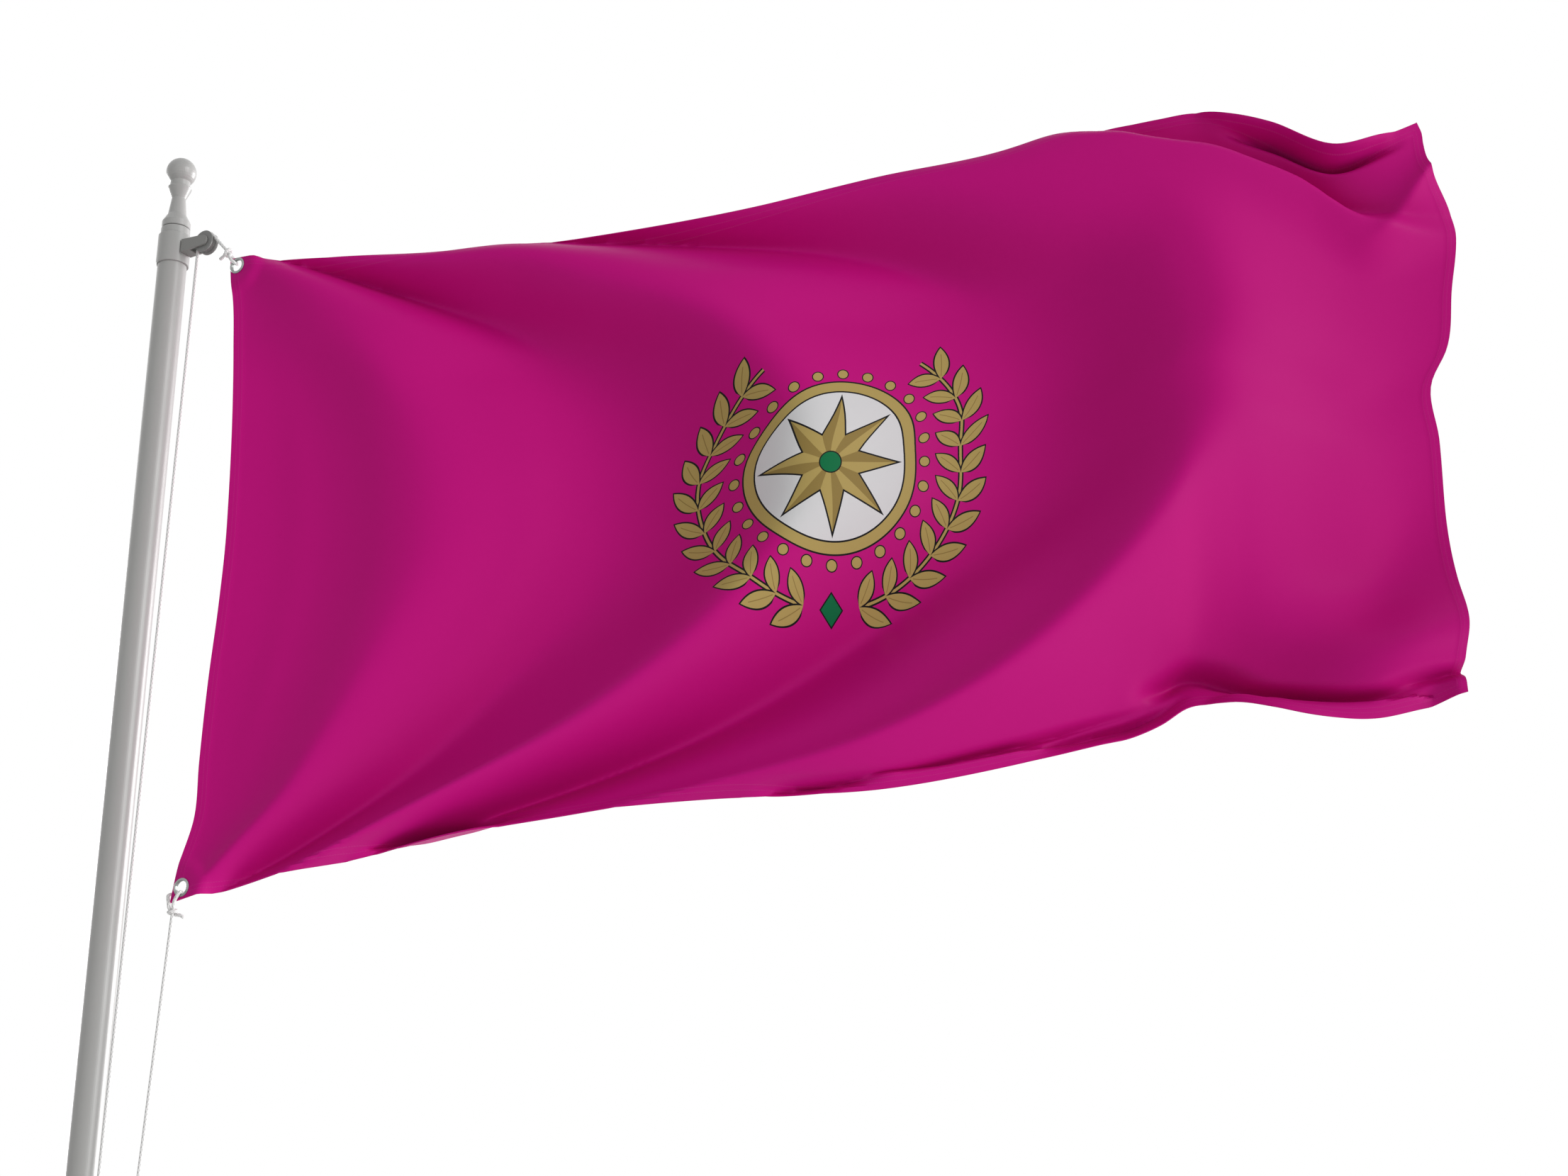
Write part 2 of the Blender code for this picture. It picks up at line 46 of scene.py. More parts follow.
light = {
    "suns": {                           # the way to each lamp, its power, and its width in degrees
        "keyLight": ((0.823, -0.514, 0.242), 1.05, 22.0),
        "rimLight": ((-0.66, 0.75, 0.10), 2.4, 22.0),
        "backLight": ((0.80, 0.55, 0.12), 2.3, 22.0),
        "lowLight": ((0.875, -0.234, -0.42), 0.78, 40.0),
    },
    "sky": 0.445, "mirrored": 0.9, "backdrop": 1.0, "skyColour": (1, 1, 1, 1),
    "floorReach": 6.0, "floorColour": (0.80, 0.80, 0.79, 1), "floorRoughness": 0.9,
}


def setCamera():
    data = bpy.data.cameras.new("photoCamera")
    data.lens, data.sensor_width = camera["lens"], camera["sensor"]
    data.clip_start = camera["nearest"]
    cam = bpy.data.objects.new("photoCamera", data)
    cam.location = camera["place"]
    cam.rotation_euler = (math.radians(90 + camera["tiltUp"]), 0, 0)
    bpy.context.scene.collection.objects.link(cam)
    bpy.context.scene.camera = cam
    bpy.context.scene.view_settings.view_transform = "Standard"


def sunFrom(name, direction, power, width):
    data = bpy.data.lights.new(name, "SUN")
    data.energy, data.angle = power, math.radians(width)
    lamp = bpy.data.objects.new(name, data)
    lamp.rotation_euler = Vector(direction).to_track_quat("Z", "Y").to_euler()
    bpy.context.scene.collection.objects.link(lamp)


def setLights():
    for name, (direction, power, width) in light["suns"].items():
        sunFrom(name, direction, power, width)
    world = bpy.data.worlds.new("paleStudio")
    world.use_nodes = True
    tree = world.node_tree
    back = tree.nodes["Background"]
    seen = tree.nodes.new("ShaderNodeLightPath")
    mix = tree.nodes.new("ShaderNodeMapRange")  # the eye sees white, the object a softer sky
    mix.inputs["To Min"].default_value = light["sky"]
    mix.inputs["To Max"].default_value = light["backdrop"]
    share = tree.nodes.new("ShaderNodeMath")
    share.operation = "MULTIPLY_ADD"            # what polished paint mirrors lies between the two
    share.inputs[1].default_value = light["mirrored"]
    tree.links.new(seen.outputs["Is Glossy Ray"], share.inputs[0])
    tree.links.new(seen.outputs["Is Camera Ray"], share.inputs[2])
    tree.links.new(share.outputs[0], mix.inputs["Value"])
    tree.links.new(mix.outputs["Result"], back.inputs["Strength"])
    back.inputs["Color"].default_value = light["skyColour"]
    bpy.context.scene.world = world


# Shader groups

class Sketch:
    # a small helper that writes node arithmetic as plain calls

    def __init__(self, tree):
        self.tree = tree

    def node(self, kind, **settings):
        made = self.tree.nodes.new(kind)
        for key, value in settings.items():
            setattr(made, key, value)
        return made

    def feed(self, socket, value):
        if isinstance(value, bpy.types.NodeSocket):
            self.tree.links.new(value, socket)
        else:
            socket.default_value = value

    def math(self, operation, *values):
        made = self.node("ShaderNodeMath", operation=operation)
        for socket, value in zip(made.inputs, values):
            self.feed(socket, value)
        return made.outputs[0]

    def add(self, a, b):
        return self.math("ADD", a, b)

    def sub(self, a, b):
        return self.math("SUBTRACT", a, b)

    def mul(self, a, b):
        return self.math("MULTIPLY", a, b)

    def over(self, a, b):
        return self.math("DIVIDE", a, b)

    def less(self, a, b):
        return self.math("LESS_THAN", a, b)

    def smaller(self, a, b):
        return self.math("MINIMUM", a, b)

    def larger(self, a, b):
        return self.math("MAXIMUM", a, b)

    def size(self, a):
        return self.math("ABSOLUTE", a)

    def length(self, a, b):
        return self.math("SQRT", self.add(self.mul(a, a), self.mul(b, b)))

    def split(self, vector):
        made = self.node("ShaderNodeSeparateXYZ")
        self.feed(made.inputs[0], vector)
        return made.outputs[0], made.outputs[1], made.outputs[2]

    def mix(self, share, a, b):
        made = self.node("ShaderNodeMix", data_type="RGBA")
        self.feed(made.inputs[0], share)
        self.feed(made.inputs[6], a)
        self.feed(made.inputs[7], b)
        return made.outputs[2]

    def noise(self, vector, scale, detail, rough):
        made = self.node("ShaderNodeTexNoise")
        self.feed(made.inputs["Vector"], vector)
        self.feed(made.inputs["Scale"], scale)
        made.inputs["Detail"].default_value = detail
        made.inputs["Roughness"].default_value = rough
        return made.outputs["Fac"]

    def between(self, value, low, high, toLow=0.0, toHigh=1.0):
        made = self.node("ShaderNodeMapRange", interpolation_type="SMOOTHSTEP")
        ends = {"Value": value, "From Min": low, "From Max": high, "To Min": toLow, "To Max": toHigh}
        for key, amount in ends.items():
            self.feed(made.inputs[key], amount)
        return made.outputs["Result"]


def newGroup(name, inputs, outputs):
    tree = bpy.data.node_groups.new(name, "ShaderNodeTree")
    for label, kind, value in inputs:
        socket = tree.interface.new_socket(name=label, in_out="INPUT", socket_type=kind)
        if value is not None:
            socket.default_value = value
    for label, kind in outputs:
        tree.interface.new_socket(name=label, in_out="OUTPUT", socket_type=kind)
    start = tree.nodes.new("NodeGroupInput")
    end = tree.nodes.new("NodeGroupOutput")
    return Sketch(tree), start.outputs, end.inputs


number, colour, vector = "NodeSocketFloat", "NodeSocketColor", "NodeSocketVector"


def weaveGroup():
    # plain weave: over and under threads as a product of two sines on the cut cloth
    inputs = [("Cut", vector, None), ("Thread", number, 0.0008)]
    s, given, out = newGroup("plainWeave", inputs, [("Height", number)])
    x, y, _ = s.split(given["Cut"])
    turn = s.over(math.pi, given["Thread"])
    across = s.math("SINE", s.mul(x, turn))
    along = s.math("SINE", s.mul(y, turn))
    s.feed(out["Height"], s.add(s.mul(s.mul(across, along), 0.5), 0.5))
    return s.tree


def dustGroup():
    # slow cloudy variation and fine grain for painted and bare metal
    inputs = [("Place", vector, None), ("Cloud", number, 9.0), ("Grain", number, 900.0)]
    s, given, out = newGroup("cloudAndGrain", inputs, [("Cloud", number), ("Grain", number)])
    s.feed(out["Cloud"], s.noise(given["Place"], given["Cloud"], 4.0, 0.6))
    s.feed(out["Grain"], s.noise(given["Place"], given["Grain"], 2.0, 0.5))
    return s.tree


device = {
    "centre": (0.905, 0.462),            # metres along and up the cut cloth
    "starTip": 0.098, "starValley": 0.043, "starPoints": 8, "studRadius": 0.015, "studLine": 0.0018,
    "discRadius": 0.118, "ringHalf": 0.0085,
    "beadCircle": 0.141, "beadRadius": 0.0070, "beads": 24, "beadLine": 0.0016,
    "stemRadius": 0.196, "stemHalf": 0.0018, "leafLength": 0.050, "leafHalf": 0.0100, "leafLean": 48.0,
    "leafStep": 12.0, "firstLeaf": 1, "lastLeaf": 12, "ribHalf": 0.0006, "ribFrom": 0.1, "ribTo": 0.8,
    "lozengeHalf": 0.015, "lozengeSlim": 0.75, "line": 0.0024,
    "gold": (0.47, 0.35, 0.115, 1), "darkGold": (0.30, 0.21, 0.062, 1), "white": (0.74, 0.74, 0.75, 1),
    "black": (0.008, 0.008, 0.009, 1), "green": (0.005, 0.17, 0.060, 1),
}


class Painter:
    # lays shares of plain colours over each other, and keeps the mask of all of them

    def __init__(self, s):
        self.s, self.colour, self.mask = s, None, None

    def paint(self, share, tone):
        self.colour = tone if self.colour is None else self.s.mix(share, self.colour, tone)
        self.mask = share if self.mask is None else self.s.larger(self.mask, share)

    def outlined(self, distance, tone, line=device["line"]):
        # distance is below zero inside the shape; the black line stands round it
        self.paint(self.s.less(distance, line), device["black"])
        self.paint(self.s.less(distance, 0.0), tone)


def paintSprays(s, p, r, side, y):
    # leaves in two rows on a stem, mirrored about the upright
    # a leaf's half width at the share t of its length is 4 t (1 - t) of the widest
    d = device
    climb = s.math("ARCTAN2", side, s.mul(y, -1.0))
    step = math.radians(d["leafStep"])
    count = s.math("FLOOR", s.over(climb, step))
    along = s.mul(s.sub(climb, s.mul(count, step)), d["stemRadius"])
    away = s.size(s.sub(r, d["stemRadius"]))
    lean = math.radians(d["leafLean"])
    leafX = s.add(s.mul(along, math.cos(lean)), s.mul(away, math.sin(lean)))
    leafY = s.size(s.sub(s.mul(away, math.cos(lean)), s.mul(along, math.sin(lean))))
    part = s.over(leafX, d["leafLength"])
    belly = s.mul(s.mul(s.mul(part, s.sub(1.0, part)), 4.0), d["leafHalf"])
    inSpray = s.mul(s.less(step * d["firstLeaf"], climb), s.less(climb, step * d["lastLeaf"]))
    for distance in (s.sub(away, d["stemHalf"]), s.sub(leafY, belly)):
        p.paint(s.mul(s.less(distance, d["line"]), inSpray), d["black"])
        p.paint(s.mul(s.less(distance, 0.0), inSpray), d["gold"])
    rib = s.mul(s.less(leafY, d["ribHalf"]), s.less(part, d["ribTo"]))
    p.paint(s.mul(rib, s.mul(s.less(d["ribFrom"], part), inSpray)), d["darkGold"])


def foldedTurn(s, turn, share):
    # the angle from the middle of the nearest of several equal shares of a turn
    return s.sub(turn, s.mul(s.math("ROUND", s.over(turn, share)), share))


def paintStar(s, p, r, turn):
    # straight-edged points, each half a lighter and half a darker gold
    d = device
    share = 2 * math.pi / d["starPoints"]
    fold = foldedTurn(s, turn, share)
    starX, starY = s.mul(r, s.math("COSINE", fold)), s.size(s.mul(r, s.math("SINE", fold)))
    tip = Vector((d["starTip"], 0.0))
    valley = Vector((math.cos(share / 2), math.sin(share / 2))) * d["starValley"]
    edge = (valley - tip).normalized()
    facing = Vector((edge.y, -edge.x))
    if facing.dot(tip) < 0:
        facing = -facing
    distance = s.sub(s.add(s.mul(starX, facing.x), s.mul(starY, facing.y)), facing.dot(tip))
    p.outlined(distance, d["gold"])
    p.paint(s.mul(s.less(distance, 0.0), s.less(0.0, fold)), d["darkGold"])
    p.outlined(s.sub(r, d["studRadius"]), d["green"], d["studLine"])


def deviceGroup():
    # a made-up ornament: compass star on a white disc, a beaded ring and two leaf sprays
    outputs = [("Color", colour), ("Mask", number)]
    s, given, out = newGroup("printedDevice", [("Cut", vector, None)], outputs)
    d, p = device, Painter(s)
    cutX, cutY, _ = s.split(given["Cut"])
    x, y = s.sub(cutX, d["centre"][0]), s.sub(cutY, d["centre"][1])
    r, turn, side = s.length(x, y), s.math("ARCTAN2", y, x), s.size(x)
    paintSprays(s, p, r, side, y)
    # beads round the disc
    beadTurn = foldedTurn(s, turn, 2 * math.pi / d["beads"])
    beadX = s.sub(s.mul(r, s.math("COSINE", beadTurn)), d["beadCircle"])
    beadY = s.mul(r, s.math("SINE", beadTurn))
    p.outlined(s.sub(s.length(beadX, beadY), d["beadRadius"]), d["gold"], d["beadLine"])
    # ring and white disc
    p.outlined(s.sub(r, d["discRadius"] + d["ringHalf"]), d["gold"])
    p.outlined(s.sub(r, d["discRadius"] - d["ringHalf"]), d["white"])
    paintStar(s, p, r, turn)
    # a green lozenge where the sprays meet
    low = s.add(y, d["stemRadius"])
    p.outlined(s.sub(s.add(side, s.mul(s.size(low), d["lozengeSlim"])), d["lozengeHalf"]), d["green"])
    s.feed(out["Color"], p.colour)
    s.feed(out["Mask"], p.mask)
    return s.tree


groups = {"weave": weaveGroup(), "dust": dustGroup(), "device": deviceGroup()}


def useGroup(s, key, **inputs):
    made = s.node("ShaderNodeGroup")
    made.node_tree = groups[key]
    for label, value in inputs.items():
        s.feed(made.inputs[label], value)
    return made.outputs


def newMaterial(name, roughness, metallic=0.0):
    m = bpy.data.materials.new(name)
    m.use_nodes = True
    shader = m.node_tree.nodes["Principled BSDF"]
    shader.inputs["Roughness"].default_value = roughness
    shader.inputs["Metallic"].default_value = metallic
    return m, Sketch(m.node_tree), shader


def bump(s, shader, height, strengthAndDistance, under=None):
    made = s.node("ShaderNodeBump")
    s.feed(made.inputs["Height"], height)
    made.inputs["Strength"].default_value, made.inputs["Distance"].default_value = strengthAndDistance
    if under is not None:
        s.feed(made.inputs["Normal"], under)
    s.feed(shader.inputs["Normal"], made.outputs[0])
    return made.outputs[0]


clothFinish = {
    "dye": (0.582, 0.0046, 0.223, 1), "dyeDeep": (0.560, 0.0039, 0.211, 1), "dyeCloud": 5.0,
    "roughness": 0.50, "gloss": 0.095,
    "sheen": 0.02, "sheenRoughness": 0.4, "sheenTint": (1.0, 0.25, 0.65, 1),
    "thread": 0.0008, "threadBump": (0.25, 0.0001),
    "stitchRows": (0.0020, 0.0075),      # metres outward from the hem's inner line
    "stitchHalf": 0.00035, "stitchStep": 0.0034, "stitchShare": 0.72,
    "stitchTone": (0.62, 0.05, 0.28, 1), "stitchMix": 0.35, "stitchBump": (0.5, 0.0004),
}


def stitching(s, x, y):
    # dashes of thread in two rows: the distance to the nearest cut edge picks the rows, x + y the dashes
    f, cut = clothFinish, clothCut
    inward = s.smaller(s.smaller(x, s.sub(cut["length"], x)), s.smaller(y, s.sub(cut["width"], y)))
    dash = s.less(s.math("FRACT", s.over(s.add(x, y), f["stitchStep"])), f["stitchShare"])
    rows = [s.less(s.size(s.sub(inward, cut["hemWidth"] - row)), f["stitchHalf"]) for row in f["stitchRows"]]
    return s.mul(s.larger(*rows), dash)


def clothMaterial():
    f = clothFinish
    m, s, shader = newMaterial("magentaCloth", f["roughness"])
    shader.inputs["Sheen Weight"].default_value = f["sheen"]
    shader.inputs["Sheen Roughness"].default_value = f["sheenRoughness"]
    shader.inputs["Sheen Tint"].default_value = f["sheenTint"]
    shader.inputs["Specular IOR Level"].default_value = f["gloss"]
    cut = s.node("ShaderNodeUVMap", uv_map="cut").outputs[0]
    x, y, _ = s.split(cut)
    dye = s.mix(s.noise(cut, f["dyeCloud"], 3.0, 0.6), f["dye"], f["dyeDeep"])
    printed = useGroup(s, "device", Cut=cut)
    tone = s.mix(printed["Mask"], dye, printed["Color"])
    stitch = stitching(s, x, y)
    tone = s.mix(s.mul(stitch, f["stitchMix"]), tone, f["stitchTone"])
    s.feed(shader.inputs["Base Color"], tone)
    weave = useGroup(s, "weave", Cut=cut, Thread=f["thread"])
    threads = bump(s, shader, weave["Height"], f["threadBump"])
    bump(s, shader, stitch, f["stitchBump"], threads)
    return m


# The cloth

clothCut = {
    "length": 1.80, "width": 0.90, "thickness": 0.0010, "hemThickness": 0.0017, "hemWidth": 0.015,
    "hemStep": (0.0135, 0.0165),         # metres from the edge where the doubled hem thins to one layer
}
flagShape = {
    "hoistY": -0.055, "flyNearer": 0.12, "eyeletSlope": -0.5,
    "eyelets": {"top": (0.1075, 1.7090), "bottom": (0.1070, 0.8455)}, "eyeletHole": 0.0098,
    "ringSeat": 0.001, "flatRound": (0.023, 0.042), "flatWide": 1.1, "holeSides": 40, "punchDepth": 0.02,
    "columns": 286, "rows": 128, "rowCrowding": 0.72, "sharpFrom": 50.0,
    # metres from the cut edge of the grid lines that draw the hem
    "hemLines": (0, 0.0012, 0.005, 0.010, 0.0135, 0.0150, 0.0165, 0.021),
}
# share of the length from the hoist, height of the bottom edge, height of the top edge
edgeHeights = [
    (0.00, 0.827, 1.722), (0.08, 0.856, 1.714), (0.18, 0.895, 1.718), (0.24, 0.912, 1.732),
    (0.30, 0.924, 1.737), (0.42, 0.945, 1.757), (0.55, 0.959, 1.797), (0.66, 0.995, 1.832),
    (0.72, 1.019, 1.869), (0.75, 1.031, 1.887), (0.77, 1.045, 1.890), (0.79, 1.065, 1.893),
    (0.82, 1.066, 1.897), (0.85, 1.053, 1.886), (0.88, 1.044, 1.870), (0.93, 1.043, 1.828),
    (0.97, 1.059, 1.844), (1.00, 1.072, 1.865),
]
# share of the height from the bottom, x of the hoist edge, x of the fly edge
sideReach = [
    (0.00, 0.092, 1.709), (0.05, 0.099, 1.709), (0.12, 0.113, 1.720), (0.20, 0.113, 1.721),
    (0.32, 0.115, 1.717), (0.44, 0.120, 1.715), (0.54, 0.122, 1.711), (0.60, 0.121, 1.735),
    (0.70, 0.118, 1.749), (0.85, 0.110, 1.758), (0.93, 0.104, 1.726), (0.965, 0.099, 1.722),
    (0.985, 0.097, 1.720), (1.00, 0.096, 1.714),
]
# fold line as a share of the flag's middle, waves passed, half depth
foldLines = [
    (0.00, 0.50, 0.007), (0.17, 1.02, 0.026), (0.34, 1.52, 0.041), (0.48, 2.00, 0.051),
    (0.67, 2.50, 0.047), (0.812, 3.00, 0.036), (1.00, 3.50, 0.044), (1.07, 3.62, 0.046),
    (1.18, 3.75, 0.040),
]
# small ridges between the folds: fold line, height in metres, half width as a share
smallRidges = [(0.062, 0.0016, 0.016), (0.135, 0.0012, 0.018), (0.255, 0.0012, 0.020)]
# share of the length, share of the height where the last ridge hides what is behind it
crestLine = [
    (0.66, 1.045), (0.70, 1.025), (0.75, 0.990), (0.80, 0.960), (0.85, 0.942), (0.90, 0.928),
    (0.94, 0.902), (0.97, 0.872), (1.00, 0.845),
]
# hems that stand forward: middle and half length as shares of the length, height and depth in metres
hemLips = {
    "bottom": [(0.195, 0.060, 0.011, 0.012), (0.59, 0.15, 0.020, 0.012), (0.895, 0.090, 0.027, 0.020)],
    "top": [(0.90, 0.080, 0.012, 0.014)],
}
# creases beside the hems: two shares of the length, metres in from the edge at both, depth and half width
hemCreases = {
    "bottom": [
        (0.12, 0.30, 0.009, 0.014, 0.028, 0.007), (0.44, 0.56, 0.004, 0.018, 0.032, 0.007),
        (0.52, 0.78, 0.016, 0.036, 0.018, 0.006), (0.65, 0.80, 0.014, 0.018, 0.018, 0.008),
        (0.74, 0.86, 0.060, 0.030, 0.030, 0.015), (0.79, 1.00, 0.031, 0.033, 0.030, 0.010),
        (0.93, 1.05, 0.046, 0.026, 0.022, 0.009),
    ],
    "top": [(0.83, 0.99, 0.020, 0.017, 0.046, 0.008)],
}
foldRules = {
    # the bow of the fold lines in the lower half and in the upper half, and where one turns into the other
    "bowReach": (0.965, 0.99), "bowPower": (1.6, 2.0), "bowFull": (1.03, 0.85), "bowLess": (0.90, 0.92),
    "bowChange": (0.42, 0.58), "lastLine": 1.4, "solveSteps": 30,
    # metres along and up that the crowding of the folds is measured over, and the probe's share of them
    "spread": (1.62, 0.86), "probe": 0.004,
    # the slope that the folds stay under in the middle, and how much it grows low down and high up
    "steepest": 1.15, "steeperLow": 0.35, "steeperHigh": 0.8,
    # more depth in the lower folds: how much, at which share of the height, its half height, from which lines
    "deeperLow": 0.75, "deeperAt": 0.18, "deeperHalf": 0.20, "deeperLines": (0.5, 0.85),
    # length and height in metres, and the reach within which the hoist's corners hold the cloth flat
    "heldSize": (1.65, 0.85), "heldReach": 0.10,
    # roundness of the ridges: in the middle, less low down, less high up, more before the last ridge
    "round": 0.34, "roundLow": 0.24, "roundHigh": 0.12, "roundLast": 0.3, "roundLine": 0.79, "roundHalf": 0.1,
    "hollowRound": 0.10, "straightness": 0.97, "straightLow": 0.8,
    # low down the hollows lie nearer the ridge before them, by these shares of a wave
    "hollowShift": 0.04, "hollowShiftLate": 0.14,
    # the strip behind the crest: metres of height, its slope toward the viewer, and the step back at the crest
    "stripHeight": 0.85, "stripSlope": 0.75, "stripStep": 0.055,
    # a sharp fold under the top corner: drop at the fly edge, slope, how far it stands out, half width
    "cornerDrop": 0.070, "cornerSlope": 1.05, "cornerOut": 0.022, "cornerHalf": 0.028,
    # the bulge by the bottom corner: how far it stands out, its two shares, half width as a share
    "bulge": 0.060, "bulgeAt": (0.93, 0.11), "bulgeHalf": 0.085,
    # the last strip of the bottom hem leans out, and back further along: its height, its two slopes
    "turnedStrip": 0.034, "turnedSlopes": (-0.7, 1.2),
    # the step at a lip's edge in metres, and the share of a crease's length that each end fades over
    "lipEdge": (-0.0015, 0.0035), "creaseEnds": 0.4,
}


def ease(x, low, high):
    # 3 t squared less 2 t cubed, with t the clamped share of the way
    t = np.clip((x - low) / (high - low), 0, 1)
    return t * t * (3 - 2 * t)


def bell(x, middle, half):
    # e to the power of less the square of the distance in half widths
    return np.exp(-((x - middle) / half) ** 2)


def through(x, rows, column):
    # cubic pieces through a table's points, each with the mean slope of its neighbours
    xs = np.array([row[0] for row in rows], float)
    ys = np.array([row[column] for row in rows], float)
    gap, rise = np.diff(xs), np.diff(ys) / np.diff(xs)
    mean = (rise[:-1] * gap[1:] + rise[1:] * gap[:-1]) / (gap[:-1] + gap[1:])
    slope = np.concatenate([[rise[0]], mean, [rise[-1]]])
    x = np.clip(x, xs[0], xs[-1])
    i = np.clip(np.searchsorted(xs, x, side="right") - 1, 0, len(xs) - 2)
    t = (x - xs[i]) / gap[i]
    near = ys[i] * (1 + 2 * t) * (1 - t) ** 2 + slope[i] * gap[i] * t * (1 - t) ** 2
    return near + ys[i + 1] * t * t * (3 - 2 * t) + slope[i + 1] * gap[i] * t * t * (t - 1)


def foldLine(u, v):
    # fold lines bow from one hoist corner to the other: u = s times q(v) to the power a - b s, solved for s
    # by Newton's steps, with q(v) one less a power of the distance from the middle height
    f = foldRules
    upper = ease(v, *f["bowChange"])
    away = np.abs(1 - 2 * v)
    low, high = (1 - (away * reach) ** power for reach, power in zip(f["bowReach"], f["bowPower"]))
    q = np.log((1 - upper) * low + upper * high)
    a, b = (pair[0] + (pair[1] - pair[0]) * upper for pair in (f["bowFull"], f["bowLess"]))
    target = np.log(np.maximum(u, 1e-5))
    s = np.clip(u, 1e-4, None)
    for _ in range(f["solveSteps"]):
        miss = np.log(s) + (a - b * s) * q - target
        s = np.clip(s - miss / (1 / s - b * q), 1e-5, f["lastLine"])
    return s


def wavesAt(u, v):
    # fold line, and the waves passed there
    s = foldLine(u, v)
    return s, through(s, foldLines, 1)


def foldShape(wave, top, low, soft):
    # one on a ridge and minus one in a hollow
    # the ridges are the sharp ones, by the top edge the hollows, and low down both
    x = np.pi * wave
    ridge = 1 - 2 * (np.sqrt(np.sin(x) ** 2 + soft ** 2) - soft) / (np.sqrt(1 + soft ** 2) - soft)
    even = foldRules["hollowRound"]
    hollow = 2 * (np.sqrt(np.cos(x) ** 2 + even ** 2) - even) / (np.sqrt(1 + even ** 2) - even) - 1
    straight = np.arcsin(foldRules["straightness"] * np.cos(2 * x)) / np.arcsin(foldRules["straightness"])
    return ridge + (hollow - ridge) * top + (straight - ridge) * low


def foldSize(u, v, s):
    # half depth, less where the folds crowd together:
    # the size over the root of 1 + (size times crowding over the steepest slope) squared
    f = foldRules
    step = f["probe"]
    up, down, back = np.minimum(v + step, 1), np.maximum(v - step, 0), np.maximum(u - step, 0)
    perHeight = (wavesAt(u, up)[1] - wavesAt(u, down)[1]) / ((up - down) * f["spread"][1])
    perLength = (wavesAt(u + step, v)[1] - wavesAt(back, v)[1]) / ((u + step - back) * f["spread"][0])
    crowding = np.pi * np.hypot(perHeight, perLength)
    size = through(s, foldLines, 2)
    size = size * (1 + f["deeperLow"] * ease(s, *f["deeperLines"]) * bell(v, f["deeperAt"], f["deeperHalf"]))
    steepest = f["steepest"] + f["steeperLow"] * ease(0.5 - v, 0.0, 0.35)
    steepest = steepest + f["steeperHigh"] * ease(v, 0.72, 0.86) * (1 - ease(v, 0.93, 1.0))
    return size / np.sqrt(1 + (size * crowding / steepest) ** 2)


def cornersHold(u, v):
    # nought at both hoist corners and nearly one well past the reach:
    # the hyperbolic tangents of both distances over the reach, multiplied
    length, height = foldRules["heldSize"]
    fromTop, fromBottom = np.hypot(u * length, (1 - v) * height), np.hypot(u * length, v * height)
    return np.tanh(fromTop / foldRules["heldReach"]) * np.tanh(fromBottom / foldRules["heldReach"])


def standOut(u, v):
    # depth toward the viewer: the folds' shape times their size, and what stands out or falls back besides
    f = foldRules
    s, wave = wavesAt(u, v)
    soft = f["round"] - f["roundLow"] * ease(0.5 - v, 0.0, 0.38) - f["roundHigh"] * ease(v, 0.55, 0.9)
    beforeLast = ease(v, 0.35, 0.6) * (1 - ease(wave, 2.9, 3.0))
    soft = soft + f["roundLast"] * bell(s, f["roundLine"], f["roundHalf"]) * beforeLast
    low = ease(0.5 - v, 0.05, 0.30)
    shift = (f["hollowShift"] + f["hollowShiftLate"] * ease(s, 0.47, 0.55)) * (1 - ease(s, 0.80, 0.84))
    wave = wave + low * shift * np.sin(np.pi * wave) ** 2
    shape = foldShape(wave, ease(v, 0.76, 0.90), f["straightLow"] * low, soft)
    d = foldSize(u, v, s) * cornersHold(u, v) * shape + fineRidges(s, u, v)
    above = (v - through(u, crestLine, 1)) * f["stripHeight"]
    behind = ease(u, 0.65, 0.76) * (1 - 0.85 * ease(u, 0.90, 1.0))
    d = d + behind * (f["stripSlope"] * np.maximum(above, 0) - f["stripStep"] * ease(above, -0.035, 0.006))
    # a sharp fold from the fly edge in to the last ridge, and the bulge by the bottom corner
    beside = (1 - v) * clothCut["width"] - f["cornerDrop"] - (1 - u) * f["cornerSlope"]
    d = d + f["cornerOut"] * ease(u, 0.90, 1.0) * np.exp(-np.abs(beside) / f["cornerHalf"])
    d = d + f["bulge"] * bell(u, f["bulgeAt"][0], f["bulgeHalf"]) * bell(v, f["bulgeAt"][1], f["bulgeHalf"])
    return d + hems(u, v)


def fineRidges(s, u, v):
    # bell-shaped ridges along fold lines, which die out by the hoist corners
    d = 0 * u
    for where, height, wide in smallRidges:
        d = d + height * bell(s, where, wide) * ease(v, 0.10, 0.35) * ease(1 - v, 0.12, 0.4)
    return d


def hems(u, v):
    # hems that stand forward, each a step within an arched height, and bell-shaped creases beside them
    f, width = foldRules, clothCut["width"]
    d = 0 * u
    for side, inward in (("bottom", v * width), ("top", (1 - v) * width)):
        for where, half, height, depth in hemLips[side]:
            reach = height * np.clip(1 - ((u - where) / half) ** 2, 0, 1) ** 0.5
            d = d + depth * ease(reach - inward, *f["lipEdge"]) * ease(reach, 0, height)
        for start, end, low, high, depth, wide in hemCreases[side]:
            t = np.clip((u - start) / (end - start), 0, 1)
            fade = ease(t, 0, f["creaseEnds"]) * ease(1 - t, 0, f["creaseEnds"])
            d = d - depth * fade * bell(inward, low + (high - low) * t, wide)
    turned = ease(u, 0.80, 0.86) * (1 - ease(u, 0.975, 0.995))
    first, last = f["turnedSlopes"]
    lean = first + (last - first) * ease(u, 0.82, 0.97)
    return d - turned * lean * np.maximum(f["turnedStrip"] - v * width, 0)


